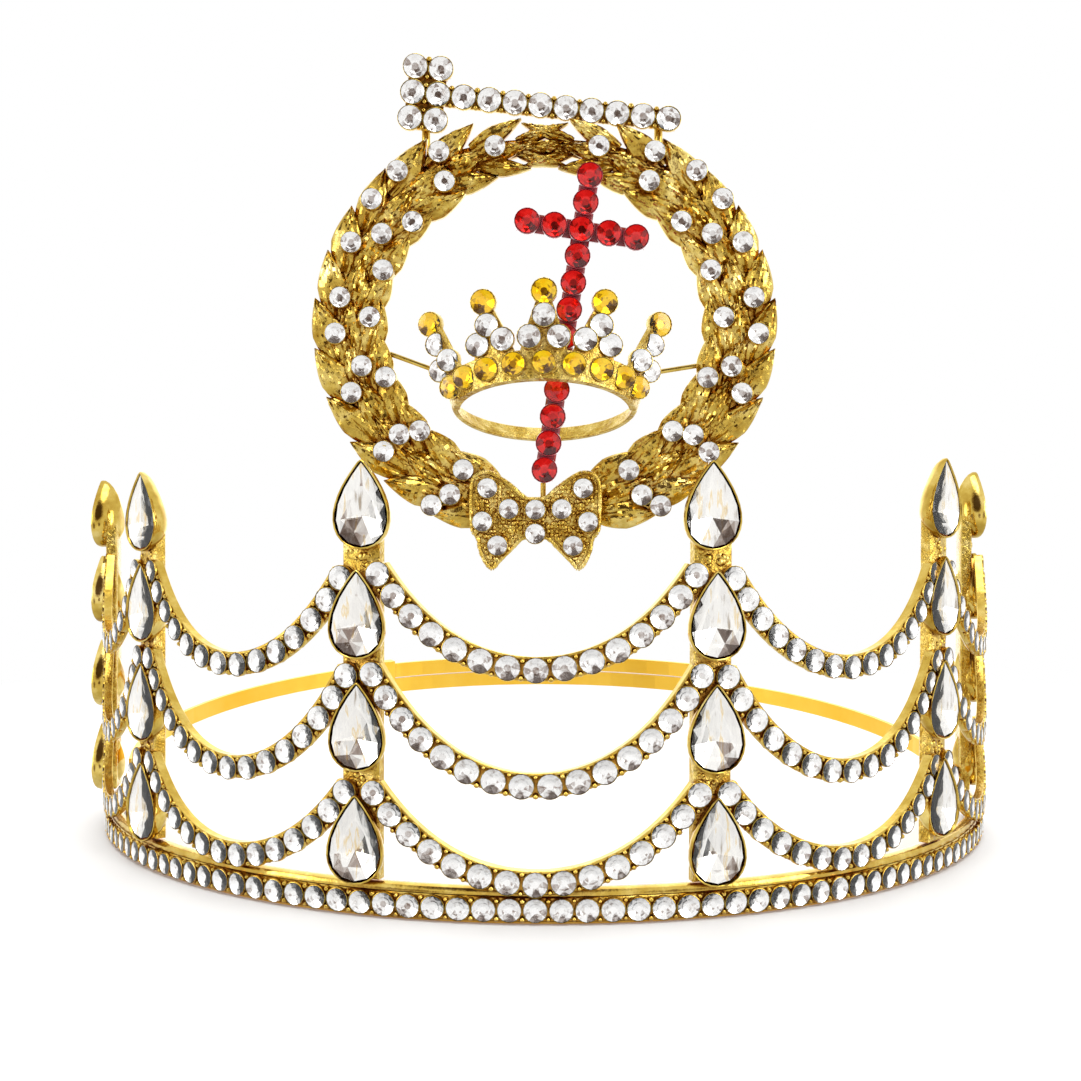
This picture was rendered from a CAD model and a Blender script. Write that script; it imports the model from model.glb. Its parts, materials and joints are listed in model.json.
import json
import math
import random

import bmesh
import bpy
from mathutils import Matrix, Vector


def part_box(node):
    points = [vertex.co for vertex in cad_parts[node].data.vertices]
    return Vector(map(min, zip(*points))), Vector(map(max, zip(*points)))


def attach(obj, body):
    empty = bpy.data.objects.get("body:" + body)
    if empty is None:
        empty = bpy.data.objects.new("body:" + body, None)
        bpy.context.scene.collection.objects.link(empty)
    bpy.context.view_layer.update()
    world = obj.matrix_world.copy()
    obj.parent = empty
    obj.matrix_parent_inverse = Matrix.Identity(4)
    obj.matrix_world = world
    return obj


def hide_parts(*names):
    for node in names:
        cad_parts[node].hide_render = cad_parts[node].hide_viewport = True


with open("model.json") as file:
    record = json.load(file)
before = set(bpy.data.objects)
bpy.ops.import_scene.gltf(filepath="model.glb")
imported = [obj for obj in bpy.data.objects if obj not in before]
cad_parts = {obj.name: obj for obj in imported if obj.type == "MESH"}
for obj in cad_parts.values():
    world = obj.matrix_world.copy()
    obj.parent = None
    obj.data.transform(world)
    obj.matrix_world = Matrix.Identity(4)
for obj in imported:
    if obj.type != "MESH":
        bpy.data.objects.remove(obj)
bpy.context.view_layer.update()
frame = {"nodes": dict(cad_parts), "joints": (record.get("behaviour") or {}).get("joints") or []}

MM = 0.001
RING_R = 89.0         # face of the ring's wall
RING_STRETCH = 1.03   # how much wider than deep the ring is
BASE_LOW = -2.6       # foot of the base band
PITCH = 4.14          # from stone to stone on the swags and the gavel
ring_y = frame["joints"][0]["pos_m"][1]
ring_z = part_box("base_band")[0].z - BASE_LOW * MM
TO_ROW = Matrix.Translation((0.0, ring_y, ring_z)) @ Matrix.Scale(MM, 4)
RING_TO_ROW = TO_ROW @ Matrix.Diagonal((RING_STRETCH, 1.0, 1.0, 1.0))
dice = random.Random(11)


# ---------------- mesh helpers
class Shape:
    """Mesh in the making: closed solids are added one by one, each face with a material number."""

    def __init__(self):
        self.verts, self.faces, self.marks = [], [], []

    def add(self, verts, faces, marks=0, matrix=None):
        """Adds a solid; marks is one material number or one for each face."""
        start = len(self.verts)
        for vert in verts:
            self.verts.append(matrix @ Vector(vert) if matrix else Vector(vert))
        for index, face in enumerate(faces):
            self.faces.append([start + corner for corner in face])
            self.marks.append(marks if isinstance(marks, int) else marks[index])


def store(name, shape, mats, nodes=(), sharp=32, place=TO_ROW):
    """Makes the object, cleans its mesh, and ties it to the crown's body and its CAD nodes."""
    mesh = bpy.data.meshes.new(name)
    mesh.from_pydata([place @ vert for vert in shape.verts], [], shape.faces)
    mesh.polygons.foreach_set("material_index", shape.marks)
    bm = bmesh.new()
    bm.from_mesh(mesh)
    bmesh.ops.remove_doubles(bm, verts=bm.verts, dist=2e-6)
    bmesh.ops.dissolve_degenerate(bm, dist=1e-6, edges=bm.edges)
    bmesh.ops.recalc_face_normals(bm, faces=bm.faces)
    bm.to_mesh(mesh)
    bm.free()
    for mat in mats:
        mesh.materials.append(mat)
    if sharp:
        mesh.shade_smooth()
        mesh.set_sharp_from_angle(angle=math.radians(sharp))
    obj = bpy.data.objects.new(name, mesh)
    bpy.context.scene.collection.objects.link(obj)
    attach(obj, "crown")
    if nodes:
        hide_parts(*nodes)


def store_stones(name, stones, place=TO_ROW):
    """Stores round clear stones, which stand in no CAD node's place."""
    store(name, stones, [clear_glass, clear_foil], sharp=0, place=place)


def loft(rings):
    """Solid through rings of equal point counts, its two ends capped."""
    count = len(rings[0])
    verts = [point for ring in rings for point in ring]
    faces = []
    for level in range(len(rings) - 1):
        for k in range(count):
            n = (k + 1) % count
            faces.append((level * count + k, level * count + n,
                          (level + 1) * count + n, (level + 1) * count + k))
    faces.append(tuple(range(count))[::-1])
    last = (len(rings) - 1) * count
    faces.append(tuple(range(last, last + count)))
    return verts, faces


def round_ring(radius, depth, sides):
    """Ring of points facing -y at a depth."""
    return [(radius * math.cos(math.tau * k / sides), -depth, radius * math.sin(math.tau * k / sides))
            for k in range(sides)]


def cup(shape, matrix, radius, back, wall, sides=20):
    """Round seat: a wall with a rolled lip at the frame's origin round a pocket with a floor."""
    levels = ((radius + wall - 0.05, back), (radius + wall, back + 0.1), (radius + wall, -0.12),
              (radius + wall * 0.75, 0.03), (radius + wall * 0.35, 0.05),
              (radius + 0.02, -0.05), (radius + 0.02, back + 0.12))
    verts, faces = loft([round_ring(r, d, sides) for r, d in levels])
    shape.add(verts, faces, 0, matrix)


DOME_RISE = (-0.5, 0.0, 0.45, 0.9, 1.3)


def dome(shape, matrix, radius, height, sides=8):
    """Small bead standing out along -y, its rings at the angles of DOME_RISE above its foot."""
    rings = [round_ring(radius * math.cos(a), height * math.sin(a), sides) for a in DOME_RISE]
    verts, faces = loft(rings)
    shape.add(verts, faces, 0, matrix)


def tube(points, radius, sides=12):
    """Round wire along a few points, its ends cut flat."""
    rings = []
    for index, point in enumerate(points):
        before = Vector(points[max(index - 1, 0)])
        after = Vector(points[min(index + 1, len(points) - 1)])
        turn = (after - before).to_track_quat("Z", "Y").to_matrix()
        rings.append([Vector(point) + turn @ Vector((radius * math.cos(math.tau * k / sides),
                                                    radius * math.sin(math.tau * k / sides), 0))
                      for k in range(sides)])
    return loft(rings)


def seat(put, s, w, depth):
    """Frame on a wall mapping: x along it, -y out of it, z across it."""
    spot = put(s, w, depth)
    along = (put(s + 0.1, w, depth) - put(s - 0.1, w, depth)).normalized()
    out = (put(s, w, depth + 0.1) - spot).normalized()
    up = along.cross(-out).normalized()
    matrix = Matrix((along, up.cross(along), up)).transposed().to_4x4()
    matrix.translation = spot
    return matrix


# ---------------- stones
GIRDLE = 0.02


def faceted(edge, centre, crown, backs, table, mid):
    """Sixteen-sided cut stone over any outline: glass crown (mark 0), foil girdle and bowl (mark 1).
    edge(k) is a girdle point (x, z). crown is the table's height above the girdle. table and mid
    are the shares of the outline at which the table and the kite facets end, and backs are the
    (share, depth) of the bowl's outer ring and of its small flat floor."""
    def ring(share, height, steps):
        return [(centre[0] + share * (edge(k)[0] - centre[0]), -height,
                 centre[1] + share * (edge(k)[1] - centre[1])) for k in steps]
    even, odd, every = range(0, 16, 2), range(1, 16, 2), range(16)
    kite = crown * (1 - (mid * math.cos(math.pi / 8) - table) / (1 - table))
    verts = (ring(table, crown, even) + ring(mid, kite, odd) + ring(1.0, 0.0, every)
             + ring(1.0, -GIRDLE, every) + ring(backs[0][0], -backs[0][1], odd)
             + ring(backs[1][0], -backs[1][1], even))
    # first vertex of the table, the kites, the girdle's two edges, the bowl's ring and its floor
    t, m, g, u, l, c = 0, 8, 16, 32, 48, 56
    faces, marks = [tuple(range(8)), tuple(range(c, c + 8))], [0, 1]
    for k in range(8):
        n, p = (k + 1) % 8, (k - 1) % 8
        e, o, f = 2 * k, 2 * k + 1, (2 * k + 2) % 16
        crown_faces = [(t + k, m + k, t + n), (t + k, m + p, g + e, m + k),
                       (m + k, g + e, g + o), (m + k, g + o, g + f)]
        foil_faces = [(g + e, u + e, u + o, g + o), (g + o, u + o, u + f, g + f),
                      (u + e, l + k, u + o), (u + o, l + k, u + f), (l + p, c + k, l + k, u + e),
                      (c + k, c + n, l + k)]
        faces += crown_faces + foil_faces
        marks += [0] * len(crown_faces) + [1] * len(foil_faces)
    return verts, faces, marks


def round_edge(radius):
    """Girdle of a round stone."""
    return lambda k: (radius * math.sin(math.tau * k / 16), radius * math.cos(math.tau * k / 16))


# height of the table and depths of the bowl's ring and floor, all as shares of the radius
ROUND_CROWN, ROUND_BOWL, ROUND_FLOOR = 0.075, 0.054, 0.105


def set_stone(shape, matrix, radius, wobble=3.0):
    """Round stone with its girdle at the frame's origin, turned at random and a touch off true."""
    backs = ((0.66, radius * ROUND_BOWL), (0.3, radius * ROUND_FLOOR))
    verts, faces, marks = faceted(round_edge(radius), (0.0, 0.0), radius * ROUND_CROWN, backs,
                                  table=0.46, mid=0.74)
    lean = (Matrix.Rotation(math.radians(dice.uniform(-wobble, wobble)), 4, "X")
            @ Matrix.Rotation(math.radians(dice.uniform(-wobble, wobble)), 4, "Z")
            @ Matrix.Rotation(dice.uniform(0, math.tau), 4, "Y"))
    shape.add(verts, faces, marks, matrix @ lean)


# ---------------- drop outline
GEM_HALF_W = 4.0
GEM_HALF_H = 6.55
WIDEST_SHARE = 0.7698   # the most that sin(t) * sin(t / 2) reaches
DROP_MID = -1.9
DROP_SIDES = 32


def drop_point(turn, grow):
    """Pear outline, point up: position at a turn from the tip, pushed out by grow."""
    hand = math.copysign(1.0, turn)
    turn = abs(turn)
    a = GEM_HALF_W / WIDEST_SHARE
    x = a * math.sin(turn) * math.sin(turn / 2)
    z = GEM_HALF_H * math.cos(turn)
    dx = a * (math.cos(turn) * math.sin(turn / 2) + 0.5 * math.sin(turn) * math.cos(turn / 2))
    dz = -GEM_HALF_H * math.sin(turn)
    if math.sin(turn) < 1e-6:
        normal = Vector((0.0, math.cos(turn)))
    else:
        normal = Vector((-dz, dx)).normalized()
    return hand * (x + normal.x * grow), z + normal.y * grow


def signed_turn(k, sides):
    """Angle of a step round the outline, between -pi and pi from the tip."""
    turn = math.tau * k / sides
    return turn if turn <= math.pi else turn - math.tau


def drop_ring(grow, depth, height, share):
    """Pear ring at a depth, drawn in towards the stone's middle by share."""
    ring = []
    for k in range(DROP_SIDES):
        x, z = drop_point(signed_turn(k, DROP_SIDES), grow)
        ring.append((x * share, -depth, height + (z - DROP_MID) * share + DROP_MID))
    return ring


# ---------------- rows of seats
def strip(shape, put, first, last, steps, half_w, back, front, ease=0.18):
    """Backing strip with eased edges along a wall mapping."""
    section = ((ease - half_w, back), (-half_w, back + ease), (-half_w, front - ease),
               (ease - half_w, front), (half_w - ease, front), (half_w, front - ease),
               (half_w, back + ease), (half_w - ease, back))
    rings = []
    for index in range(steps + 1):
        at = first + (last - first) * index / steps
        rings.append([put(at, w, depth) for w, depth in section])
    shape.add(*loft(rings))


ROW_WALL, STONE_PLAY, CUP_PLAY = 0.13, 0.03, 0.01
BEAD_NEAR, BEAD_FAR, BEAD_SINK = 1.32, 1.52, 0.5


def stone_row(shape, gems, put, centres, pitch, radius, floor, top, wobble=3.0):
    """Round seats that touch one another, their stones, and pairs of beads in the gaps."""
    for index, s0 in enumerate(centres):
        spot = seat(put, s0, 0.0, top)
        cup(shape, spot, radius, floor - top, ROW_WALL)
        set_stone(gems, spot, radius - STONE_PLAY, wobble)
        if index + 1 < len(centres):
            for sign in (-1, 1):
                size = dice.uniform(0.4, 0.55)
                across = sign * dice.uniform(BEAD_NEAR, BEAD_FAR)
                dome(shape, seat(put, s0 + pitch / 2, across, top - BEAD_SINK), size, size * 1.3)


# ---------------- materials
def new_material(name):
    """Material with its node tree and its surface shader."""
    mat = bpy.data.materials.new(name)
    mat.use_nodes = True
    tree = mat.node_tree
    return mat, tree, tree.nodes["Principled BSDF"]


def noise(tree, coords, scale, detail=4.0):
    """Cloudy value round 0.5; scale is in blotches per metre."""
    node = tree.nodes.new("ShaderNodeTexNoise")
    node.inputs["Scale"].default_value = scale
    node.inputs["Detail"].default_value = detail
    node.inputs["Roughness"].default_value = 0.6
    tree.links.new(coords, node.inputs["Vector"])
    return node.outputs["Fac"]


def spread(tree, value, low, high, out_low, out_high):
    """Value carried from one range to another."""
    node = tree.nodes.new("ShaderNodeMapRange")
    for key, number in zip(("From Min", "From Max", "To Min", "To Max"), (low, high, out_low, out_high)):
        node.inputs[key].default_value = number
    tree.links.new(value, node.inputs["Value"])
    return node.outputs["Result"]


def ramp(tree, value, stops):
    """Colour from a value by (place, colour) stops."""
    node = tree.nodes.new("ShaderNodeValToRGB")
    node.color_ramp.elements[0].position, node.color_ramp.elements[-1].position = stops[0][0], stops[-1][0]
    node.color_ramp.elements[0].color = (*stops[0][1], 1.0)
    node.color_ramp.elements[-1].color = (*stops[-1][1], 1.0)
    for place, colour in stops[1:-1]:
        node.color_ramp.elements.new(place).color = (*colour, 1.0)
    tree.links.new(value, node.inputs["Fac"])
    return node.outputs["Color"]


def bump(tree, shader, height, strength, distance):
    """Relief on a shader from a height value; distance is in metres."""
    node = tree.nodes.new("ShaderNodeBump")
    node.inputs["Strength"].default_value = strength
    node.inputs["Distance"].default_value = distance
    tree.links.new(height, node.inputs["Height"])
    tree.links.new(node.outputs["Normal"], shader.inputs["Normal"])


def object_coords(tree):
    return tree.nodes.new("ShaderNodeTexCoord").outputs["Object"]


TARNISH, TARNISH_REACH = (0.30, 0.12, 0.015), 0.0022


def tarnish(tree, plating):
    """Darkens the plating to orange-brown in the recesses."""
    hollow = tree.nodes.new("ShaderNodeAmbientOcclusion")
    hollow.samples = 6
    hollow.inputs["Distance"].default_value = TARNISH_REACH
    mix = tree.nodes.new("ShaderNodeMix")
    mix.data_type = "RGBA"
    mix.inputs["A"].default_value = (*TARNISH, 1.0)
    tree.links.new(spread(tree, hollow.outputs["AO"], 0.25, 0.8, 0.0, 1.0), mix.inputs["Factor"])
    tree.links.new(plating, mix.inputs["B"])
    return mix.outputs["Result"]


def metal(name, stops, colour_scale, rough, grain, strength, distance):
    """Plated metal: mottled plating colour, cloudy polish and cast grain."""
    mat, tree, shader = new_material(name)
    coords = object_coords(tree)
    shader.inputs["Metallic"].default_value = 1.0
    plating = ramp(tree, noise(tree, coords, colour_scale), stops)
    tree.links.new(tarnish(tree, plating), shader.inputs["Base Color"])
    cloud = noise(tree, coords, colour_scale * 2.3, 3.0)
    tree.links.new(spread(tree, cloud, 0.3, 0.7, *rough), shader.inputs["Roughness"])
    bump(tree, shader, noise(tree, coords, grain, 3.0), strength, distance)
    return mat


def glass(name, tints):
    """Clear or coloured cut glass with faint polishing marks."""
    mat, tree, shader = new_material(name)
    coords = object_coords(tree)
    shader.inputs["Transmission Weight"].default_value = 1.0
    shader.inputs["IOR"].default_value = 1.56
    tree.links.new(ramp(tree, noise(tree, coords, 700.0, 2.0), tints), shader.inputs["Base Color"])
    tree.links.new(spread(tree, noise(tree, coords, 1400.0, 2.0), 0.35, 0.75, 0.0, 0.05),
                   shader.inputs["Roughness"])
    bump(tree, shader, noise(tree, coords, 560.0, 1.0), 0.05, 0.00002)
    return mat


def foil(name, tints, scale=900.0, upright=1.0, polish=(0.03, 0.14)):
    """Mirror backing with its least and most roughness in polish; upright below 1 draws its
    mottling out into vertical streaks."""
    mat, tree, shader = new_material(name)
    stretch = tree.nodes.new("ShaderNodeVectorMath")
    stretch.operation = "MULTIPLY"
    stretch.inputs[1].default_value = (1.0, 1.0, upright)
    tree.links.new(object_coords(tree), stretch.inputs[0])
    coords = stretch.outputs["Vector"]
    shader.inputs["Metallic"].default_value = 1.0
    tree.links.new(ramp(tree, noise(tree, coords, scale, 2.0), tints), shader.inputs["Base Color"])
    tree.links.new(spread(tree, noise(tree, coords, scale * 2, 2.0), 0.3, 0.7, *polish),
                   shader.inputs["Roughness"])
    bump(tree, shader, noise(tree, coords, scale, 1.0), 0.08, 0.00002)
    return mat


CAST_GOLD = ((0.28, (0.38, 0.21, 0.02)), (0.5, (0.62, 0.43, 0.08)), (0.72, (0.92, 0.73, 0.26)))
EVEN_GOLD = ((0.28, (0.52, 0.33, 0.045)), (0.5, (0.64, 0.44, 0.085)), (0.72, (0.80, 0.60, 0.17)))
SATIN_GOLD = ((0.3, (0.96, 0.56, 0.05)), (0.7, (1.0, 0.64, 0.09)))
gold = metal("gold_cast", EVEN_GOLD, 320.0, (0.10, 0.24), 900.0, 0.35, 0.00015)
gold_rough = metal("gold_hammered", CAST_GOLD, 420.0, (0.10, 0.24), 1100.0, 0.9, 0.0004)
gold_leaf = metal("gold_foil_leaf", CAST_GOLD, 260.0, (0.07, 0.20), 1000.0, 0.6, 0.0002)
gold_polish = metal("gold_polished", CAST_GOLD, 180.0, (0.05, 0.13), 500.0, 0.25, 0.0002)
satin = metal("gold_satin", SATIN_GOLD, 60.0, (0.28, 0.38), 500.0, 0.08, 0.0001)

SILVER = ((0.28, (0.62, 0.57, 0.53)), (0.42, (0.94, 0.93, 0.91)), (0.7, (1.0, 0.99, 0.97)))
SILVER_STREAKED = ((0.28, (0.45, 0.38, 0.29)), (0.38, (0.92, 0.90, 0.86)), (0.58, (1.0, 0.98, 0.93)),
                   (0.64, (0.94, 0.76, 0.46)), (0.70, (1.0, 0.96, 0.88)))
clear_glass = glass("stone_clear", ((0.3, (0.97, 0.97, 0.98)), (0.7, (1.0, 1.0, 1.0))))
clear_foil = foil("stone_foil", SILVER, polish=(0.05, 0.2))
drop_foil = foil("drop_foil", SILVER_STREAKED, scale=800.0, upright=0.2)
yellow_glass = glass("stone_yellow", ((0.3, (1.0, 0.72, 0.05)), (0.7, (1.0, 0.86, 0.12))))
yellow_foil = foil("stone_yellow_foil", ((0.3, (0.95, 0.66, 0.06)), (0.7, (1.0, 0.82, 0.16))))
red_glass = glass("stone_red", ((0.3, (0.72, 0.02, 0.03)), (0.7, (0.95, 0.08, 0.07))))
red_foil = foil("stone_red_foil", ((0.3, (0.70, 0.07, 0.06)), (0.7, (1.0, 0.30, 0.25))))


def lacquer():
    """Dark red lacquer under a gloss coat."""
    mat, tree, shader = new_material("red_lacquer")
    coords = object_coords(tree)
    tints = ((0.3, (0.16, 0.004, 0.012)), (0.7, (0.36, 0.01, 0.025)))
    tree.links.new(ramp(tree, noise(tree, coords, 500.0), tints), shader.inputs["Base Color"])
    tree.links.new(spread(tree, noise(tree, coords, 900.0), 0.3, 0.7, 0.12, 0.3), shader.inputs["Roughness"])
    shader.inputs["Coat Weight"].default_value = 0.8
    shader.inputs["Coat Roughness"].default_value = 0.05
    bump(tree, shader, noise(tree, coords, 700.0, 2.0), 0.3, 0.00015)
    return mat


red = lacquer()


# ---------------- base band
def on_ring(height):
    """Wall mapping of the ring: s runs round it from the front, w above a height, depth outwards."""
    def put(s, w, depth):
        angle = s / RING_R
        radius = RING_R + depth
        return Vector((radius * math.sin(angle), -radius * math.cos(angle), height + w))
    return put


def sweep(profile, first, last, steps):
    """Closed (depth, height) profile carried round the ring between two angles."""
    rings = []
    for index in range(steps + 1):
        angle = first + (last - first) * index / steps
        rings.append([((RING_R + d) * math.sin(angle), -(RING_R + d) * math.cos(angle), z)
                      for d, z in profile])
    return loft(rings)


BASE_COUNT, BASE_PITCH, BASE_STONE_R, BASE_STEPS = 67, 3.88, 1.82, 126
BASE_ROW_HEIGHT = -0.35
BASE_STRIP_HALF_W, BASE_STRIP_BACK, BASE_STRIP_FRONT = 1.95, -0.3, 0.85
BASE_CUP_FLOOR, BASE_CUP_TOP = 0.7, 1.5
# (depth, height) round the back plate with its rolled rim, and round the foot under the stones
RIM_PROFILE = ((-1.2, -2.1), (-1.05, -2.3), (-0.2, -2.3), (-0.2, 1.5), (0.5, 1.55), (0.72, 1.75),
               (0.74, 2.3), (0.5, 2.72), (0.0, 2.9), (-0.75, 2.9), (-1.05, 2.8), (-1.2, 2.6))
FOOT_PROFILE = ((-0.2, -2.5), (-0.05, BASE_LOW), (0.75, BASE_LOW), (0.9, -2.5), (0.9, -2.2),
                (0.7, -2.05), (-0.2, -2.05))
centres = [(index - (BASE_COUNT - 1) / 2) * BASE_PITCH for index in range(BASE_COUNT)]
put = on_ring(BASE_ROW_HEIGHT)
band, stones = Shape(), Shape()
reach = BASE_COUNT * BASE_PITCH / 2
strip(band, put, -reach, reach, BASE_STEPS, BASE_STRIP_HALF_W, BASE_STRIP_BACK, BASE_STRIP_FRONT)
stone_row(band, stones, put, centres, BASE_PITCH, BASE_STONE_R, BASE_CUP_FLOOR, BASE_CUP_TOP)
for profile in (RIM_PROFILE, FOOT_PROFILE):
    band.add(*sweep(profile, -reach / RING_R, reach / RING_R, BASE_STEPS))
store("base_band_gold", band, [gold], ["base_band"], place=RING_TO_ROW)
store_stones("base_band_stones", stones, RING_TO_ROW)

# ---------------- pillars and drop stones
# degrees round the ring of the left and right pillar, and how far their drops turn to the front
PILLARS = {"front": (-17.5, 17.5), "side": (-49.4, 50.1), "rear": (-81.0, 83.5)}
DROP_TWIST = {"front": 8.0, "side": 9.0, "rear": -18.0}
# heights of the drops from the top down, and where single ones stand off those places
DROP_Z = (62.75, 45.4, 27.6, 9.75)
IN_PLACE = (0.0, 0.0, 0.0, 0.0)
DROP_RAISE = {"side_left": (-1.1, 0.0, 0.0, 0.0), "side_right": (1.7, 1.7, 1.1, 1.5),
              "rear_left": (-1.3, 0.0, 0.0, 0.0), "rear_right": (1.1, 1.1, 1.1, 1.1)}
DROP_INSET = {"front": (0.35, -0.45, -0.4, -0.7)}
PILLAR_OUT = {"rear_left": -1.0, "rear_right": 1.2}
DROP_SEAT, DROP_CROWN, DROP_WOBBLE = 2.5, 0.2, 2.5
DROP_BACKS = ((0.6, 0.3), (0.03, 0.82))
# (growth, depth, share) of the rings from the cup's back, out over its lip and down to its floor
CUP_LEVELS = ((0.35, -1.5, 0.42), (0.5, -1.35, 0.5), (0.58, -0.8, 0.68), (0.62, 0.0, 0.82),
              (0.62, 0.9, 0.93), (0.6, 1.8, 0.99), (0.56, 2.45, 1.0), (0.5, 2.72, 1.0),
              (0.38, 2.8, 1.0), (0.26, 2.72, 1.0), (0.17, 2.5, 1.0), (0.14, 1.7, 0.97), (0.0, 0.2, 0.7))
SPINE_HALF_W, SPINE_LOW, SPINE_HIGH = 3.1, 3.3, 62.0
SPINE_SHOULDER, SPINE_CHAMFER = 3.0, 1.6
# (inset, depth) of the spine's outline from back to front
SPINE_LEVELS = ((0.25, -1.0), (0.0, -0.8), (0.0, 0.85), (0.3, 1.1))
NECKS, NECK_LUMPS, NECK_DEPTH = 3, 14, 0.9
NECK_HALF_W, NECK_TOP, NECK_LOW = 2.5, 6.9, 10.4


def spine(high):
    """Backing strip of a pillar, its top corners cut off."""
    rings = []
    for inset, depth in SPINE_LEVELS:
        w, low, top = SPINE_HALF_W - inset, SPINE_LOW + inset, high - inset
        rings.append([(-w, -depth, low), (w, -depth, low), (w, -depth, top - SPINE_SHOULDER),
                      (w - SPINE_CHAMFER, -depth, top), (SPINE_CHAMFER - w, -depth, top),
                      (-w, -depth, top - SPINE_SHOULDER)])
    return loft(rings)


def drop_stone(height):
    """Pear-shaped cut stone with its girdle in the plane y = 0."""
    def edge(k):
        x, z = drop_point(signed_turn(k, 16), 0.0)
        return x, z + height
    return faceted(edge, (0.0, height + DROP_MID), DROP_CROWN, DROP_BACKS, table=0.62, mid=0.81)


def neck_lumps(shape, matrix, height):
    """Rough solder on the spine below a drop."""
    for _ in range(NECK_LUMPS):
        x = dice.uniform(-NECK_HALF_W, NECK_HALF_W)
        spot = Matrix.Translation((x, -NECK_DEPTH, height - dice.uniform(NECK_TOP, NECK_LOW)))
        dome(shape, matrix @ spot, dice.uniform(0.4, 0.85), dice.uniform(0.3, 0.6), 7)


def pillar(row, side, degrees):
    """Spine, four cups and four drop stones, the cups turned a little on the spine."""
    label = row + "_" + side
    sign = math.copysign(1.0, degrees)
    matrix = Matrix.Rotation(math.radians(degrees), 4, "Z") @ Matrix.Translation(
        (0.0, PILLAR_OUT.get(label, 0.0) - RING_R, 0.0))
    twist = Matrix.Rotation(-sign * math.radians(DROP_TWIST[row]), 4, "Z")
    raises = DROP_RAISE.get(label, IN_PLACE)
    metal_part, gems = Shape(), Shape()
    metal_part.add(*spine(SPINE_HIGH + raises[0]), 1, matrix)
    for place, (height, lift, inset) in enumerate(zip(DROP_Z, raises, DROP_INSET.get(row, IN_PLACE))):
        height += lift
        hang = matrix @ Matrix.Translation((-sign * inset, 0.0, 0.0)) @ twist
        rings = [drop_ring(grow, depth, height, share) for grow, depth, share in CUP_LEVELS]
        metal_part.add(*loft(rings), 2, hang)
        verts, faces, marks = drop_stone(height)
        tip = Matrix.Translation((0.0, -DROP_SEAT, 0.0)) @ Matrix.Rotation(
            math.radians(dice.uniform(-DROP_WOBBLE, DROP_WOBBLE)), 4, "Z")
        gems.add(verts, faces, marks, hang @ tip)
        if place < NECKS:
            neck_lumps(metal_part, matrix, height)
    store("pillar_" + label + "_gold", metal_part, [gold, gold_rough, gold_polish],
          ["pillar_" + label], place=RING_TO_ROW)
    store("drops_" + label, gems, [clear_glass, drop_foil],
          ["drop_" + label + "_" + str(n) for n in (1, 2, 3, 4)], sharp=0, place=RING_TO_ROW)


for row, pair in PILLARS.items():
    for side, degrees in zip(("left", "right"), pair):
        pillar(row, side, degrees)

# ---------------- swags
SWAG_ENDS = {"top": 56.9, "middle": 39.8, "bottom": 20.7}
SWAG_LOWS = {"top": 36.2, "middle": 19.0, "bottom": 4.6}
SWAG_REACH = {"top": 3.1, "middle": 2.15, "bottom": 2.4}
FRONT_LIFT = {"top": 0.9, "middle": 0.0, "bottom": -0.8}
SWAG_SAMPLES = 400
SWAG_STONE_R, SWAG_RUN_ON = 1.93, 0.8
SWAG_HALF_W, SWAG_BACK, SWAG_FRONT = 1.8, 0.5, 1.25
SWAG_CUP_FLOOR, SWAG_CUP_TOP = 1.1, 2.0
EDGE_W, EDGE_HALF_W, EDGE_BACK, EDGE_FRONT = 1.85, 0.24, 0.2, 1.75


class SwagLine:
    """Sagging line on the unrolled ring wall between two pillars, measured along its length."""

    def __init__(self, level, first, last):
        middle, reach = (first + last) / 2, (last - first) / 2
        limit = 1.0 - SWAG_REACH[level] / (reach * RING_R)
        low = SWAG_LOWS[level] + (FRONT_LIFT[level] if abs(middle) < 0.1 else 0.0)
        rise = SWAG_ENDS[level] - low
        self.points = []
        for index in range(SWAG_SAMPLES + 1):
            u = -limit + 2 * limit * index / SWAG_SAMPLES
            self.points.append(Vector(((middle + u * reach) * RING_R,
                                       low + rise * (0.75 * u ** 2 + 0.25 * u ** 4))))
        self.lengths = [0.0]
        for one, two in zip(self.points, self.points[1:]):
            self.lengths.append(self.lengths[-1] + (two - one).length)
        count = round(self.lengths[-1] / PITCH) + 1
        self.step = self.lengths[-1] / (count - 1)
        self.centres = [index * self.step for index in range(count)]

    def at(self, s):
        """Point at a length; the line runs on straight past its ends."""
        total = self.lengths[-1]
        last = SWAG_SAMPLES - 1
        inside = min(max(s, 0.0), total)
        low = min(int(inside / total * SWAG_SAMPLES), last)
        while low > 0 and self.lengths[low] > inside:
            low -= 1
        while low < last and self.lengths[low + 1] < inside:
            low += 1
        one, two = self.points[low], self.points[low + 1]
        return one + (two - one).normalized() * (s - self.lengths[low])

    def put(self, s, w, depth):
        """Point on the ring wall at a length, w above the line and a depth out of the wall."""
        spot = self.at(s)
        run = (self.at(s + SWAG_RUN_ON) - self.at(s - SWAG_RUN_ON)).normalized()
        x, z = spot.x - run.y * w, spot.y + run.x * w
        angle, radius = x / RING_R, RING_R + depth
        return Vector((radius * math.sin(angle), -radius * math.cos(angle), z))


def swag(metal_part, stones, line):
    """One strip with its stones and the thin plain edge above them."""
    def edge_put(s, w, depth):
        return line.put(s, w + EDGE_W, depth)
    last, steps = line.centres[-1] + SWAG_RUN_ON, 4 * len(line.centres)
    strip(metal_part, line.put, -SWAG_RUN_ON, last, steps, SWAG_HALF_W, SWAG_BACK, SWAG_FRONT)
    strip(metal_part, edge_put, -SWAG_RUN_ON, last, steps, EDGE_HALF_W, EDGE_BACK, EDGE_FRONT, ease=0.1)
    stone_row(metal_part, stones, line.put, line.centres, line.step, SWAG_STONE_R, SWAG_CUP_FLOOR,
              SWAG_CUP_TOP)


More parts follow.
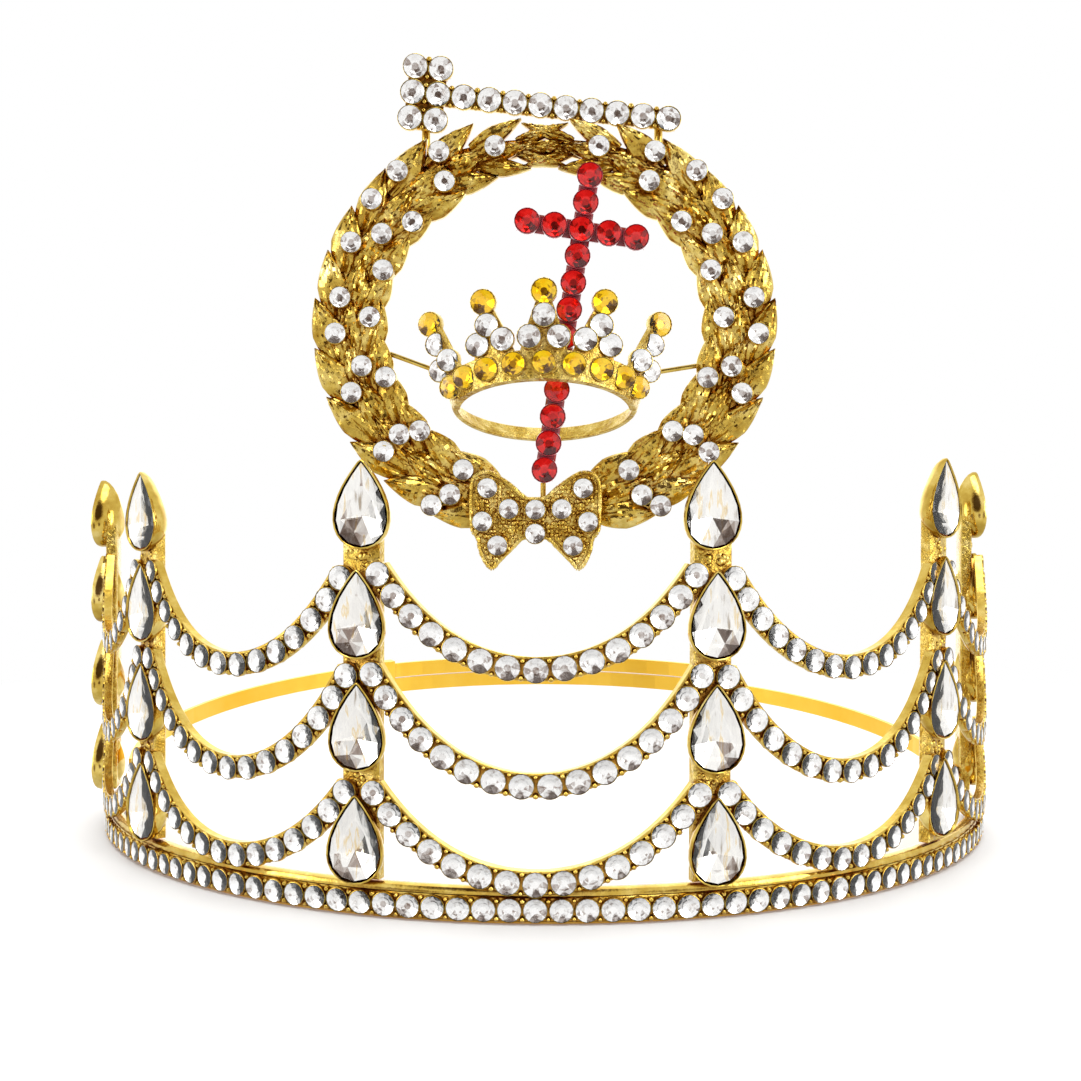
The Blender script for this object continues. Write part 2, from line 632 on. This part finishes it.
pillar_angles = sorted(math.radians(degrees) for pair in PILLARS.values() for degrees in pair)
BAYS = ("rear_left", "left", "front", "right", "rear_right")
for bay, first, last in zip(BAYS, pillar_angles, pillar_angles[1:]):
    metal_part, stones = Shape(), Shape()
    for level in SWAG_ENDS:
        swag(metal_part, stones, SwagLine(level, first, last))
    store("swags_" + bay + "_gold", metal_part, [gold],
          ["swag_" + bay + "_" + level for level in SWAG_ENDS], place=RING_TO_ROW)
    store_stones("swags_" + bay + "_stones", stones, RING_TO_ROW)

# ---------------- wreath
EMBLEM_X = 1.0
WREATH_Z, WREATH_A, WREATH_B, WREATH_Y = 91.6, 31.2, 28.9, -80.8   # A and B: half width and height
WREATH_STONE_R, WREATH_STONE_OUT, WREATH_STONE_SHIFT = 1.65, 2.8, 0.35
STEM_STEPS, STEM_START, STEM_SPAN = 32, 15, 162   # degrees round from the bow
STEM_HALF_W, STEM_NARROWS = 3.7, 2.7
LEAVES_START, LEAVES_SPAN = 16, 157
TIP_FROM, TIP_SHRINK = 0.76, 0.55


def wreath_spot(turn, sign, out):
    """Point on the wreath; turn runs from 0 at the bow to pi at the top."""
    return Vector((EMBLEM_X + sign * (WREATH_A + out) * math.sin(turn), WREATH_Y,
                   WREATH_Z - (WREATH_B + out) * math.cos(turn)))


LEAF_LEAN = 0.06
LEAF_WIDEST, LEAF_ROOT = 0.42, 0.08   # shares of the leaf's length
LEAF_UNDER, LEAF_CROWN = 0.55, 0.95


def leaf(shape, root, heading, length, width, crumple):
    """Laurel leaf lying in the emblem plane: pointed, keeled and crumpled like pressed foil."""
    across, along = 14, 18
    top, under = [], []
    for i in range(along + 1):
        t = i / along
        if t < LEAF_WIDEST:
            half = 0.5 * width * math.sin(math.pi * (0.12 + 0.38 * t / LEAF_WIDEST)) ** 0.6
        else:
            half = 0.5 * width * (1.03 - ((t - LEAF_WIDEST) / (1 - LEAF_WIDEST)) ** 1.5)
        for j in range(across + 1):
            v = j / across * 2 - 1
            inside = 0 < j < across and 0 < i < along
            keel = 0.25 * math.exp(-(v / 0.12) ** 2)
            fold = 0.16 * math.cos(math.tau * (1.6 * abs(v) + 0.9 * t)) * (1 - abs(v)) + keel
            y = -LEAF_CROWN * (1 - v * v) ** 0.6 * math.sin(math.pi * (0.12 + 0.83 * t)) ** 0.7 - fold
            if inside:
                y += dice.uniform(-crumple, crumple)
            top.append((half * v + (dice.uniform(-0.1, 0.1) if inside else 0.0), y - 0.2,
                        length * (t - LEAF_ROOT) + (dice.uniform(-0.12, 0.12) if inside else 0.0)))
            under.append((half * v, LEAF_UNDER, length * (t - LEAF_ROOT)))
    wide = across + 1
    faces = []
    base = len(top)
    for i in range(along):
        for j in range(across):
            a = i * wide + j
            faces.append((a, a + 1, a + wide + 1, a + wide))
            faces.append((base + a, base + a + wide, base + a + wide + 1, base + a + 1))
    for i in range(along):
        for j in (0, across):
            a = i * wide + j
            faces.append((a, a + wide, base + a + wide, base + a))
    for i in (0, along):
        for j in range(across):
            a = i * wide + j
            faces.append((a, a + 1, base + a + 1, base + a))
    matrix = (Matrix.Translation(root) @ Matrix.Rotation(heading, 4, "Y")
              @ Matrix.Rotation(LEAF_LEAN, 4, "X"))
    shape.add(top + under, faces, 0, matrix)


# (degrees round from the bow, millimetres out from the middle line) of each stone
WREATH_STONES = ((28, 1.5), (28, -3), (31, 4.4), (48, -4), (50.5, 2.5), (51.5, -1.2), (70, 2), (71, -4),
                 (77, -0.9), (88, 2.6), (93.3, -2.9), (98.6, 2.2), (110.5, -3.3), (114.7, 3.2),
                 (121.2, -0.4), (127.8, 4.2), (130.3, -3.1), (138, 4.4), (146.9, -1.3), (150, 3.2),
                 (165, 0.8))
# (out, splay, lift, length, width, crumple) of the outer, inner and middle leaf of a station
LEAF_LANES = ((2.65, 0.36, -0.3, 10.6, 4.9, 0.11), (-2.55, -0.22, -0.25, 9.8, 4.6, 0.12),
              (0.1, 0.02, -0.45, 10.4, 4.6, 0.26))
LEAF_STATIONS, LEAF_BEND = 13, 0.16
# (share of the half width, y) across the stem
STEM_SECTION = ((-1.0, 0.6), (-1.0, -0.3), (-0.5, -0.8), (0.0, -0.95), (0.5, -0.8), (1.0, -0.3), (1.0, 0.6))


def stem(branch, sign):
    """Ragged strip that carries the leaves and narrows towards the top."""
    rings = []
    for index in range(STEM_STEPS + 1):
        along = index / STEM_STEPS
        turn = math.radians(STEM_START + STEM_SPAN * along)
        half = STEM_HALF_W - STEM_NARROWS * along ** 4
        ring = []
        for share, y in STEM_SECTION:
            spot = wreath_spot(turn, sign, half * share)
            spot.y += y + dice.uniform(-0.15, 0.15) * (1 if y < 0 else 0)
            ring.append(spot)
        rings.append(ring)
    branch.add(*loft(rings))


def leaves(branch, sign):
    """Three overlapping rows of leaves that point up the branch and shrink near its tip."""
    for station in range(LEAF_STATIONS):
        share = station / (LEAF_STATIONS - 1)
        turn = math.radians(LEAVES_START + LEAVES_SPAN * share)
        taper = 1.0 - TIP_SHRINK * max(0.0, share - TIP_FROM) / (1 - TIP_FROM)
        ahead = wreath_spot(turn + 0.02, sign, 0.0) - wreath_spot(turn - 0.02, sign, 0.0)
        course = math.atan2(ahead.x, ahead.z)
        for out, splay, lift, length, width, crumple in LEAF_LANES:
            root = wreath_spot(turn, sign, out * taper)
            root.y += lift - 0.08 * (station % 2)
            leaf(branch, root, course + sign * (splay - LEAF_BEND), length * (0.7 + 0.3 * taper),
                 width * taper * dice.uniform(0.94, 1.06), crumple)


for label, sign in (("left", -1), ("right", 1)):
    branch, stones = Shape(), Shape()
    stem(branch, sign)
    leaves(branch, sign)
    for degrees, out in WREATH_STONES:
        spot = wreath_spot(math.radians(degrees), sign, out)
        matrix = Matrix.Translation((spot.x + WREATH_STONE_SHIFT, WREATH_Y - WREATH_STONE_OUT,
                                     spot.z - WREATH_STONE_SHIFT))
        cup(branch, matrix, WREATH_STONE_R + CUP_PLAY, -2.3, wall=0.12)
        set_stone(stones, matrix, WREATH_STONE_R, 5.0)
    store("wreath_" + label + "_gold", branch, [gold_leaf],
          ["wreath_" + label], sharp=14)
    store_stones("wreath_" + label + "_stones", stones)


# ---------------- flat plates
PLATE_THICK, PLATE_EASE = 1.2, 0.3


def slab(shape, outline, matrix):
    """Plate in the x-z plane with eased edges; the outline runs round it once."""
    count = len(outline)
    area = sum(a[0] * b[1] - b[0] * a[1] for a, b in zip(outline, outline[1:] + outline[:1]))
    hand = math.copysign(1.0, area)

    def inset(amount):
        ring = []
        for k in range(count):
            before, here, after = (Vector(outline[(k + n) % count]) for n in (-1, 0, 1))
            one, two = (here - before).normalized(), (after - here).normalized()
            normal = Vector((-(one.y + two.y), one.x + two.x)).normalized() * hand
            slant = max(0.5, abs(normal.dot(Vector((-one.y, one.x)))))
            ring.append(here + normal * amount / slant)
        return ring
    face, side = PLATE_THICK / 2, PLATE_THICK / 2 - PLATE_EASE
    rings = []
    for amount, depth in ((PLATE_EASE, -face), (0.0, -side), (0.0, side), (PLATE_EASE, face)):
        rings.append([(p.x, -depth, p.y) for p in inset(amount)])
    verts, faces = loft(rings)
    shape.add(verts, faces, 0, matrix)


def smooth_outline(points, steps):
    """Closed Catmull-Rom curve through the points, with so many steps from one to the next."""
    result = []
    count = len(points)
    for k in range(count):
        p0, p1, p2, p3 = (Vector(points[(k + n) % count]) for n in (-1, 0, 1, 2))
        for step in range(steps):
            t = step / steps
            result.append(tuple(0.5 * ((2 * p1) + (p2 - p0) * t + (2 * p0 - 5 * p1 + 4 * p2 - p3) * t * t
                                       + (3 * p1 - p0 - 3 * p2 + p3) * t ** 3)))
    return result


GRAIN_CELL, GRAIN_DEPTH, GRAIN_EDGE = 0.7, 0.42, 0.5


def beaten_face(shape, outline, matrix, front):
    """Beaten face over a plate: a grid of uneven bumps that stops short of the outline."""
    xs, zs = [p[0] for p in outline], [p[1] for p in outline]

    def inside(x, z):
        hit = False
        for (x0, z0), (x1, z1) in zip(outline, outline[1:] + outline[:1]):
            if (z0 > z) != (z1 > z) and x < (x1 - x0) * (z - z0) / (z1 - z0) + x0:
                hit = not hit
        return hit

    def well_inside(x, z):
        around = ((0, 0), (-GRAIN_EDGE, 0), (GRAIN_EDGE, 0), (0, -GRAIN_EDGE), (0, GRAIN_EDGE))
        return all(inside(x + dx, z + dz) for dx, dz in around)
    columns = int((max(xs) - min(xs)) / GRAIN_CELL)
    rows = int((max(zs) - min(zs)) / GRAIN_CELL)
    for i in range(columns + 1):
        for j in range(rows + 1):
            x = min(xs) + (i + dice.uniform(0.2, 0.8)) * GRAIN_CELL
            z = min(zs) + (j + dice.uniform(0.2, 0.8)) * GRAIN_CELL
            if well_inside(x, z):
                size = GRAIN_CELL * dice.uniform(0.55, 0.8)
                spin = Matrix.Rotation(dice.uniform(0, math.tau), 4, "Y") @ Matrix.Diagonal(
                    (1.0, 1.0, dice.uniform(0.7, 1.3), 1.0))
                dome(shape, matrix @ Matrix.Translation((x, -front, z)) @ spin, size,
                     GRAIN_DEPTH * dice.uniform(0.6, 1.2), 6)


# ---------------- bow
BOW_X, BOW_Y = -0.3, -84.0
BOW_STONE_R, BOW_STONE_OUT, BOW_FACE, BOW_RIM = 1.55, 1.5, 0.5, 0.55
# (x, z) down the right half of the outline, and of the stones on that half
BOW_HALF = [(0.0, 63.7), (1.7, 63.9), (4.4, 66.2), (7.4, 67.9), (9.6, 67.3), (10.2, 65.2), (10.1, 59.2),
            (9.1, 57.5), (8.8, 55.8), (7.9, 53.6), (6.8, 52.6), (5.9, 53.7), (3.9, 55.6), (2.1, 57.4),
            (0.0, 57.6)]
BOW_STONES = ((7.6, 65.4), (4.2, 62.1), (0.0, 62.0), (8.4, 60.1), (0.0, 58.2), (6.0, 56.3))
bow, stones = Shape(), Shape()
outline = [(BOW_X + x, z) for x, z in BOW_HALF]
outline += [(BOW_X - x, z) for x, z in BOW_HALF[-2:0:-1]]
curve = smooth_outline(outline, 4)
bow_frame = Matrix.Translation((0.0, BOW_Y, 0.0))
slab(bow, curve, bow_frame)
beaten_face(bow, curve, bow_frame, BOW_FACE)
edge_line = [Vector((x, BOW_Y - BOW_RIM, z)) for x, z in curve]
for one, two in zip(edge_line, edge_line[1:] + edge_line[:1]):
    if (two - one).length > 0.05:
        bow.add(*tube([one, two], dice.uniform(0.3, 0.42), 8))
for x, z in BOW_STONES:
    for sign in ((-1, 1) if x > 0 else (1,)):
        matrix = Matrix.Translation((BOW_X + sign * x, BOW_Y - BOW_STONE_OUT, z))
        cup(bow, matrix, BOW_STONE_R + CUP_PLAY, -1.4, wall=0.15)
        set_stone(stones, matrix, BOW_STONE_R, 5.0)
store("bow_gold", bow, [gold_rough], ["bow"])
store_stones("bow_stones", stones)


# ---------------- gavel
def flat_wall(matrix):
    """Wall mapping of the flat x-z plane of a frame."""
    return lambda s, w, depth: matrix @ Vector((s, -depth, w))


GAVEL_AT, GAVEL_LEAN = (-16.2, -80.6, 128.8), 6.1
GAVEL_COLUMNS = {-1: (-1, 0), 0: range(-1, 10), 1: (-1, 0)}   # row of stones: its columns
GAVEL_RUN_ON, GAVEL_HALF_W, GAVEL_BACK, GAVEL_FRONT = 1.2, 1.6, -0.7, 0.1
HEAD_LEFT, HEAD_RIGHT, HEAD_HALF_H = -1.25 * PITCH, 0.25 * PITCH, 1.25 * PITCH
GAVEL_POSTS = ((-18.4, 117.5, 125.5), (19.4, 116.0, 124.0))   # (x, foot, head)
POST_Y, POST_R = -78.7, 0.7
gavel_frame = Matrix.Translation(GAVEL_AT) @ Matrix.Rotation(math.radians(GAVEL_LEAN), 4, "Y")
gavel, stones = Shape(), Shape()
for line, columns in GAVEL_COLUMNS.items():
    put = flat_wall(gavel_frame @ Matrix.Translation((0.0, 0.0, line * PITCH)))
    places = [column * PITCH for column in columns]
    strip(gavel, put, places[0] - GAVEL_RUN_ON, places[-1] + GAVEL_RUN_ON, 2, GAVEL_HALF_W, GAVEL_BACK,
          GAVEL_FRONT)
    stone_row(gavel, stones, put, places, PITCH, SWAG_STONE_R, 0.0, 0.8, wobble=4.0)
strip(gavel, flat_wall(gavel_frame), HEAD_LEFT, HEAD_RIGHT, 2, HEAD_HALF_H, GAVEL_BACK + 0.15,
      GAVEL_FRONT - 0.15)
store("gavel_gold", gavel, [gold], ["gavel"])
store_stones("gavel_stones", stones)
posts = Shape()
for x, low, high in GAVEL_POSTS:
    posts.add(*tube([(x, POST_Y, low + (high - low) * k / 6) for k in range(7)], POST_R))
store("gavel_posts", posts, [gold], ["gavel_post_left", "gavel_post_right"])

# ---------------- cross
CROSS_AT, CROSS_LEAN = (6.9, -83.9, 106.3), 8.6
ARM, UP, DOWN, WIDE = 10.2, 10.0, 40.0, 1.5   # WIDE is half the bar's width
UPRIGHT_PITCH, ARM_PITCH = 4.27, 4.35
CROSS_STONE_R, CROSS_STONE_OUT, CROSS_CUP_R = 1.88, 1.75, 1.9
PIN_R, PIN_Y, PIN_FOOT, PIN_OVERLAP = 0.45, -82.5, 60.5, 3.0
cross_frame = Matrix.Translation(CROSS_AT) @ Matrix.Rotation(math.radians(CROSS_LEAN), 4, "Y")
cross, stones = Shape(), Shape()
slab(cross, [(-WIDE, -DOWN), (WIDE, -DOWN), (WIDE, -WIDE), (ARM, -WIDE), (ARM, WIDE), (WIDE, WIDE),
             (WIDE, UP), (-WIDE, UP), (-WIDE, WIDE), (-ARM, WIDE), (-ARM, -WIDE), (-WIDE, -WIDE)],
     cross_frame)
spots = [(0.0, UPRIGHT_PITCH * step) for step in range(-9, 3)]
spots += [(ARM_PITCH * step, 0.0) for step in (-2, -1, 1, 2)]
for x, z in spots:
    matrix = cross_frame @ Matrix.Translation((x, -CROSS_STONE_OUT, z))
    cup(cross, matrix, CROSS_CUP_R, -1.4, wall=0.2)
    set_stone(stones, matrix, CROSS_STONE_R, 4.0)
store("cross_red", cross, [red], ["cross"])
store("cross_stones", stones, [red_glass, red_foil], sharp=0)
foot = cross_frame @ Vector((0.0, 0.0, -DOWN))
pin = Shape()
pin_rise = foot.z + PIN_OVERLAP - PIN_FOOT
pin.add(*tube([(foot.x, PIN_Y, PIN_FOOT + pin_rise * k / 4) for k in range(5)], PIN_R))
store("cross_pin_gold", pin, [gold], ["cross_pin"])

# ---------------- small crown
CROWNLET_AT, CROWNLET_TIP = (1.1, -81.0, 79.4), -21.0
CROWNLET_RX, CROWNLET_RY, FLARE = 14.9, 12.5, 0.35
CROWNLET_POINTS = {-69: 10.6, -29: 9.6, 0: 10.2, 29: 9.6, 69: 10.6}   # degrees: height of the tip
CROWNLET_STONE_R, CROWNLET_TIP_R = 1.75, 1.85
CROWNLET_SEAT = 1.15
BAND_FROM, BAND_PITCH, BAND_COUNT, BAND_HEIGHT = -68, 17, 9, 0.1   # degrees along the stoned band
PAIR_APART, PAIR_HEIGHT, MIDDLE_DROP, TIP_RISE = 7.4, 3.85, 3.3, 0.15
HOOP_STEPS, HOOP_START, HOOP_SPAN = 48, 82, 196
# (height, depth) round the section of the plain hoop behind
HOOP_SECTION = ((-1.2, -0.45), (-1.35, -0.3), (-1.35, 0.3), (-1.2, 0.45), (1.2, 0.45), (1.35, 0.3),
                (1.35, -0.3), (1.2, -0.45))
STAY_Y, STAY_R = -80.6, 0.4
# (x, z) of the inner and outer end of the two side wires
STAYS = (((-15.2, 84.0), (-24.0, 87.2)), ((17.4, 84.0), (25.5, 85.3)))
crownlet_frame = Matrix.Translation(CROWNLET_AT) @ Matrix.Rotation(math.radians(CROWNLET_TIP), 4, "X")


def crownlet_point(angle, height, depth):
    """Point on the flared oval wall of the small crown, in its own frame."""
    grow = FLARE * height + depth
    return Vector(((CROWNLET_RX + grow) * math.sin(angle), -(CROWNLET_RY + grow) * math.cos(angle), height))


def crownlet_seat(angle, height, depth):
    """Seat on the wall, upright and turned only part of the way round with it."""
    spot = crownlet_frame @ crownlet_point(angle, height, depth)
    return Matrix.Translation(spot) @ Matrix.Rotation(0.3 * angle, 4, "Z")


def crownlet_strip(shape, steps, centre, reach, low, high, top_share, thick):
    """Piece of the wall either side of an angle; top_share narrows it towards its top."""
    rings = []
    for i in range(steps + 1):
        ring = []
        for share, depth in ((0.0, -thick), (0.0, thick), (0.5, thick), (1.0, thick), (1.0, -thick),
                             (0.5, -thick)):
            reach_here = reach * (1 - share + top_share * share)
            angle = centre + (2 * i / steps - 1) * reach_here
            ring.append(crownlet_frame @ crownlet_point(angle, low + (high - low) * share, depth))
        rings.append(ring)
    shape.add(*loft(rings))


crownlet, clears, yellows = Shape(), Shape(), Shape()
crownlet_strip(crownlet, 40, 0.0, math.radians(84), low=-2.0, high=2.2, top_share=1.0, thick=0.5)
for degrees, tip in CROWNLET_POINTS.items():
    crownlet_strip(crownlet, 6, math.radians(degrees), math.radians(13.5), low=1.9, high=tip,
                   top_share=0.2, thick=0.45)
hoop = []
for i in range(HOOP_STEPS + 1):
    angle = math.radians(HOOP_START) + i / HOOP_STEPS * math.radians(HOOP_SPAN)
    ring = []
    out = Vector((math.sin(angle), -math.cos(angle), 0.0))
    for height, depth in HOOP_SECTION:
        ring.append(crownlet_frame @ (crownlet_point(angle, height, 0.0) + out * depth))
    hoop.append(ring)
crownlet.add(*loft(hoop))
jewels = [(BAND_FROM + BAND_PITCH * index, BAND_HEIGHT, CROWNLET_STONE_R, yellows)
          for index in range(BAND_COUNT)]
for degrees, tip in CROWNLET_POINTS.items():
    jewels += [(degrees - PAIR_APART, PAIR_HEIGHT, CROWNLET_STONE_R, clears),
               (degrees + PAIR_APART, PAIR_HEIGHT, CROWNLET_STONE_R, clears),
               (degrees, tip - MIDDLE_DROP, CROWNLET_STONE_R, clears),
               (degrees, tip + TIP_RISE, CROWNLET_TIP_R, yellows)]
for degrees, height, radius, target in jewels:
    matrix = crownlet_seat(math.radians(degrees), height, CROWNLET_SEAT)
    cup(crownlet, matrix, radius + CUP_PLAY, -1.2, wall=0.2, sides=16)
    set_stone(target, matrix, radius, 4.0)
store("small_crown_gold", crownlet, [gold_rough], ["small_crown"])
store_stones("small_crown_clear_stones", clears)
store("small_crown_yellow_stones", yellows, [yellow_glass, yellow_foil], sharp=0)
stays = Shape()
for inner, outer in STAYS:
    one, two = (Vector((x, STAY_Y, z)) for x, z in (inner, outer))
    stays.add(*tube([one.lerp(two, k / 5) for k in range(6)], STAY_R, 10))
store("small_crown_stays", stays, [gold], ["stay_left", "stay_right"])

# ---------------- back straps keep their CAD shape
for name in ("strap_left", "strap_right"):
    strap = frame["nodes"][name]
    strap.data.materials.clear()
    strap.data.materials.append(satin)


# ---------------- floor, light and camera
FLOOR_R, FLOOR_DROP = 6.0, 0.0001
FLOOR_TINTS = ((0.3, (0.93, 0.93, 0.93)), (0.7, (0.95, 0.95, 0.95)))


def floor():
    """Pale round floor that fades into the pale surroundings."""
    mesh = bpy.data.meshes.new("floor")
    bm = bmesh.new()
    bmesh.ops.create_circle(bm, cap_ends=True, segments=96, radius=FLOOR_R)
    bm.to_mesh(mesh)
    bm.free()
    obj = bpy.data.objects.new("floor", mesh)
    obj.location.z = -FLOOR_DROP
    bpy.context.scene.collection.objects.link(obj)
    mat, tree, shader = new_material("pale_floor")
    shader.inputs["Roughness"].default_value = 0.6
    coords = object_coords(tree)
    tree.links.new(ramp(tree, noise(tree, coords, 6.0), FLOOR_TINTS), shader.inputs["Base Color"])
    distance = tree.nodes.new("ShaderNodeVectorMath")
    distance.operation = "LENGTH"
    tree.links.new(coords, distance.inputs[0])
    glow = tree.nodes.new("ShaderNodeEmission")
    mix = tree.nodes.new("ShaderNodeMixShader")
    tree.links.new(spread(tree, distance.outputs["Value"], 0.07, 0.3, 0.0, 1.0), mix.inputs["Fac"])
    tree.links.new(shader.outputs["BSDF"], mix.inputs[1])
    tree.links.new(glow.outputs["Emission"], mix.inputs[2])
    tree.links.new(mix.outputs["Shader"], tree.nodes["Material Output"].inputs["Surface"])
    mesh.materials.append(mat)
    obj.visible_glossy = False
    obj.visible_transmission = False


# (direction, inner and outer half angle in degrees, strength added)
SOFTBOXES = (((-1.0, -0.45, 0.2), 7, 18, 3.5), ((1.0, -0.5, 0.25), 8, 20, 4.5),
             ((0.1, -0.45, 1.0), 8, 20, 3.5), ((0.0, 1.0, 0.35), 20, 50, 0.8))
# (direction, inner and outer half angle in degrees, share of the light that is kept)
GAPS = (((-0.12, -1.0, 0.62), 15, 28, 0.09), ((0.05, -1.0, -0.02), 4, 8, 0.25),
        ((-0.62, -1.0, -0.15), 4, 13, 0.3), ((0.66, -1.0, 0.0), 4, 13, 0.3))
WARM_TO_WHITE = ((0.1, (1.0, 0.66, 0.5)), (0.8, (1.0, 1.0, 1.0)))


def studio():
    """Light tent: pale all round with brighter softboxes, and dark warm gaps towards the front."""
    world = bpy.data.worlds.new("studio")
    bpy.context.scene.world = world
    world.use_nodes = True
    tree = world.node_tree
    tree.nodes.clear()
    coords = tree.nodes.new("ShaderNodeTexCoord").outputs["Generated"]

    def lobe(direction, inner, outer, low, high):
        """Value that is high within the inner angle of a direction and low past the outer one."""
        dot = tree.nodes.new("ShaderNodeVectorMath")
        dot.operation = "DOT_PRODUCT"
        dot.inputs[1].default_value = Vector(direction).normalized()
        tree.links.new(coords, dot.inputs[0])
        node = tree.nodes.new("ShaderNodeMapRange")
        node.interpolation_type = "SMOOTHSTEP"
        node.inputs["From Min"].default_value = math.cos(math.radians(outer))
        node.inputs["From Max"].default_value = math.cos(math.radians(inner))
        node.inputs["To Min"].default_value = low
        node.inputs["To Max"].default_value = high
        tree.links.new(dot.outputs["Value"], node.inputs["Value"])
        return node.outputs["Result"]

    def combined(kind, one, two):
        node = tree.nodes.new("ShaderNodeMath")
        node.operation = kind
        tree.links.new(one, node.inputs[0])
        tree.links.new(two, node.inputs[1])
        return node.outputs["Value"]

    level = lobe((0.0, 0.0, -1.0), 20, 85, 1.08, 0.75)
    for direction, inner, outer, gain in SOFTBOXES:
        level = combined("ADD", level, lobe(direction, inner, outer, 0.0, gain))
    for direction, inner, outer, kept in GAPS:
        level = combined("MULTIPLY", level, lobe(direction, inner, outer, 1.0, kept))
    seen = tree.nodes.new("ShaderNodeLightPath").outputs["Is Camera Ray"]
    lit = tree.nodes.new("ShaderNodeBackground")
    tree.links.new(level, lit.inputs["Strength"])
    tree.links.new(ramp(tree, level, WARM_TO_WHITE), lit.inputs["Color"])
    plain = tree.nodes.new("ShaderNodeBackground")
    plain.inputs["Color"].default_value = (1.0, 1.0, 1.0, 1.0)
    mix = tree.nodes.new("ShaderNodeMixShader")
    tree.links.new(seen, mix.inputs["Fac"])
    tree.links.new(lit.outputs["Background"], mix.inputs[1])
    tree.links.new(plain.outputs["Background"], mix.inputs[2])
    out = tree.nodes.new("ShaderNodeOutputWorld")
    tree.links.new(mix.outputs["Shader"], out.inputs["Surface"])


CAMERA_AT = (0.046 * RING_R, -3.33 * RING_R, 0.677 * RING_R)
CAMERA_PITCH, CAMERA_YAW, CAMERA_ROLL = 0.85, -0.96, 0.17
CAMERA_LENS = 44.36


def camera():
    """Front camera about level with the middle of the crown; pitch looks down, yaw to the right."""
    data = bpy.data.cameras.new("camera")
    data.sensor_width = 36.0
    data.lens = CAMERA_LENS
    data.clip_start = 0.01
    obj = bpy.data.objects.new("camera", data)
    bpy.context.scene.collection.objects.link(obj)
    pitch, yaw, roll = (math.radians(angle) for angle in (CAMERA_PITCH, CAMERA_YAW, CAMERA_ROLL))
    ahead = Vector((math.sin(yaw) * math.cos(pitch), math.cos(yaw) * math.cos(pitch), -math.sin(pitch)))
    right = Vector((math.cos(yaw), -math.sin(yaw), 0.0))
    above = right.cross(ahead)
    right, above = (math.cos(roll) * right + math.sin(roll) * above,
                    math.cos(roll) * above - math.sin(roll) * right)
    matrix = Matrix((right, above, -ahead)).transposed().to_4x4()
    matrix.translation = TO_ROW @ Vector(CAMERA_AT)
    obj.matrix_world = matrix
    bpy.context.scene.camera = obj


floor()
studio()
camera()
bpy.context.scene.view_settings.view_transform = "Standard"

bpy.context.view_layer.update()
